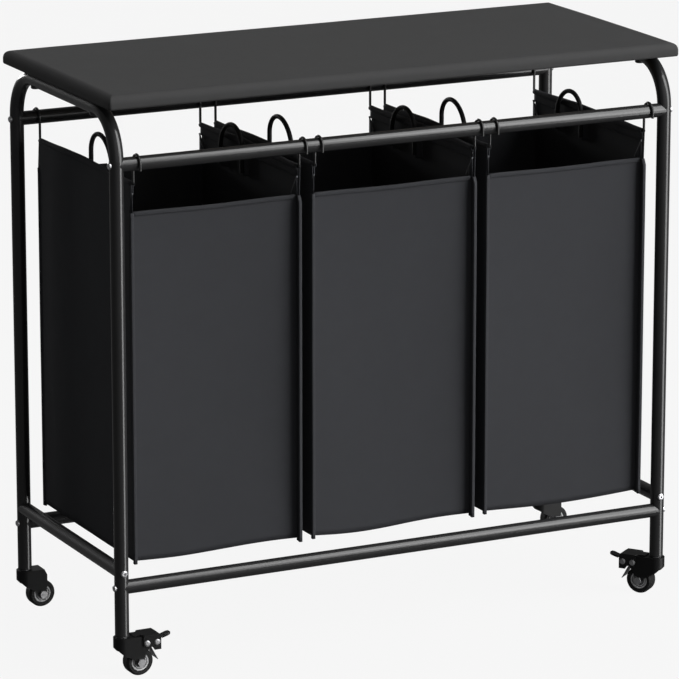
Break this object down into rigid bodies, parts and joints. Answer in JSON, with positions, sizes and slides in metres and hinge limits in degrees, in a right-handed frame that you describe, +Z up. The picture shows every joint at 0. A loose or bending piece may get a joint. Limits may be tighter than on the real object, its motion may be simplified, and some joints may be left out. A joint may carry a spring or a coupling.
{
  "type": "laundry cart",
  "caption": "Rolling laundry sorter: a tube frame with lift-off hanging bags, a padded ironing board as its top, and swivel casters with brakes at the front.",
  "frame": {"origin": "on the floor, under the middle of the four swivel axes", "axes": "+X along the cart to its right end, +Y from the front to the back, +Z up"},
  "size_m": [0.8685, 0.3645, 0.784],
  "materials": {
    "frame_tube": "black powder coat, satin gloss",
    "plug_plastic": "moulded",
    "screw": "zinc plated pan head",
    "dark_screw": "blackened",
    "bright_steel": "zinc plated",
    "board_core": "raw fibreboard",
    "pad_foam": "polyester felt",
    "board_cover": "coated woven cotton",
    "bag_fabric": "fine polyester weave",
    "bag_binding": "folded tape",
    "handle_cord": "sheathed cord",
    "hook_wire": "black coated wire",
    "caster_housing": "black coated stamped steel",
    "wheel_hub": "grey nylon",
    "tyre": "moulded",
    "pedal": "black coated stamped steel",
    "spring_steel": "sprung steel"
  },
  "bodies": {
    "frame": {"left_side_frame": "frame_tube", "right_side_frame": "frame_tube", "left_crossbar": "frame_tube", "right_crossbar": "frame_tube", "front_upper_rail": "frame_tube", "rear_upper_rail": "frame_tube", "front_lower_rail": "frame_tube", "rear_lower_rail": "frame_tube", "rail_inserts": "plug_plastic", "crossbar_inserts": "plug_plastic", "leg_sockets": "plug_plastic", "caster_stems": "bright_steel", "rail_screws": "screw", "crossbar_screws": "screw", "board_screws": "dark_screw", "board_core": "board_core", "board_pad": "pad_foam", "board_cover": "board_cover"},
    "left_bag": {"left_bag": "bag_fabric", "left_bag_binding": "bag_binding", "left_bag_handles": "handle_cord", "left_bag_left_wire": "hook_wire", "left_bag_right_wire": "hook_wire"},
    "middle_bag": {"middle_bag": "bag_fabric", "middle_bag_binding": "bag_binding", "middle_bag_handles": "handle_cord", "middle_bag_left_wire": "hook_wire", "middle_bag_right_wire": "hook_wire"},
    "right_bag": {"right_bag": "bag_fabric", "right_bag_binding": "bag_binding", "right_bag_handles": "handle_cord", "right_bag_left_wire": "hook_wire", "right_bag_right_wire": "hook_wire"},
    "front_left_caster": {"front_left_caster_housing": "caster_housing", "front_left_axle": "bright_steel", "front_left_pedal_pin": "bright_steel"},
    "front_left_wheel": {"front_left_hub": "wheel_hub", "front_left_tyre": "tyre"},
    "front_left_brake": {"front_left_brake_pedal": "pedal", "front_left_brake_leaf": "spring_steel", "front_left_leaf_rivet": "bright_steel"},
    "front_right_caster": {"front_right_caster_housing": "caster_housing", "front_right_axle": "bright_steel", "front_right_pedal_pin": "bright_steel"},
    "front_right_wheel": {"front_right_hub": "wheel_hub", "front_right_tyre": "tyre"},
    "front_right_brake": {"front_right_brake_pedal": "pedal", "front_right_brake_leaf": "spring_steel", "front_right_leaf_rivet": "bright_steel"},
    "rear_left_caster": {"rear_left_caster_housing": "caster_housing", "rear_left_axle": "bright_steel"},
    "rear_left_wheel": {"rear_left_hub": "wheel_hub", "rear_left_tyre": "tyre"},
    "rear_right_caster": {"rear_right_caster_housing": "caster_housing", "rear_right_axle": "bright_steel"},
    "rear_right_wheel": {"rear_right_hub": "wheel_hub", "rear_right_tyre": "tyre"}
  },
  "joints": [
    {"name": "left_bag_lift", "type": "slide", "parent": "frame", "child": "left_bag", "axis": [0, 0, 1], "range_m": [0, 0.045]},
    {"name": "middle_bag_lift", "type": "slide", "parent": "frame", "child": "middle_bag", "axis": [0, 0, 1], "range_m": [0, 0.045]},
    {"name": "right_bag_lift", "type": "slide", "parent": "frame", "child": "right_bag", "axis": [0, 0, 1], "range_m": [0, 0.045]},
    {"name": "front_left_swivel", "type": "hinge", "parent": "frame", "child": "front_left_caster", "pos_m": [-0.4065, -0.167, 0.05], "axis": [0, 0, 1], "continuous": true},
    {"name": "front_left_wheel_spin", "type": "hinge", "parent": "front_left_caster", "child": "front_left_wheel", "pos_m": [-0.3845, -0.167, 0.019], "axis": [0, 1, 0], "continuous": true},
    {"name": "front_left_brake_press", "type": "hinge", "parent": "front_left_caster", "child": "front_left_brake", "pos_m": [-0.3765, -0.167, 0.045], "axis": [0, 1, 0], "range_deg": [0, 7]},
    {"name": "front_right_swivel", "type": "hinge", "parent": "frame", "child": "front_right_caster", "pos_m": [0.4065, -0.167, 0.05], "axis": [0, 0, 1], "continuous": true},
    {"name": "front_right_wheel_spin", "type": "hinge", "parent": "front_right_caster", "child": "front_right_wheel", "pos_m": [0.39317, -0.1495, 0.019], "axis": [-0.7955, -0.606, 0], "continuous": true},
    {"name": "front_right_brake_press", "type": "hinge", "parent": "front_right_caster", "child": "front_right_brake", "pos_m": [0.38832, -0.14314, 0.045], "axis": [-0.7955, -0.606, 0], "range_deg": [0, 7]},
    {"name": "rear_left_swivel", "type": "hinge", "parent": "frame", "child": "rear_left_caster", "pos_m": [-0.4065, 0.167, 0.05], "axis": [0, 0, 1], "continuous": true},
    {"name": "rear_left_wheel_spin", "type": "hinge", "parent": "rear_left_caster", "child": "rear_left_wheel", "pos_m": [-0.3845, 0.167, 0.019], "axis": [0, 1, 0], "continuous": true},
    {"name": "rear_right_swivel", "type": "hinge", "parent": "frame", "child": "rear_right_caster", "pos_m": [0.4065, 0.167, 0.05], "axis": [0, 0, 1], "continuous": true},
    {"name": "rear_right_wheel_spin", "type": "hinge", "parent": "rear_right_caster", "child": "rear_right_wheel", "pos_m": [0.4285, 0.167, 0.019], "axis": [0, 1, 0], "continuous": true}
  ]
}
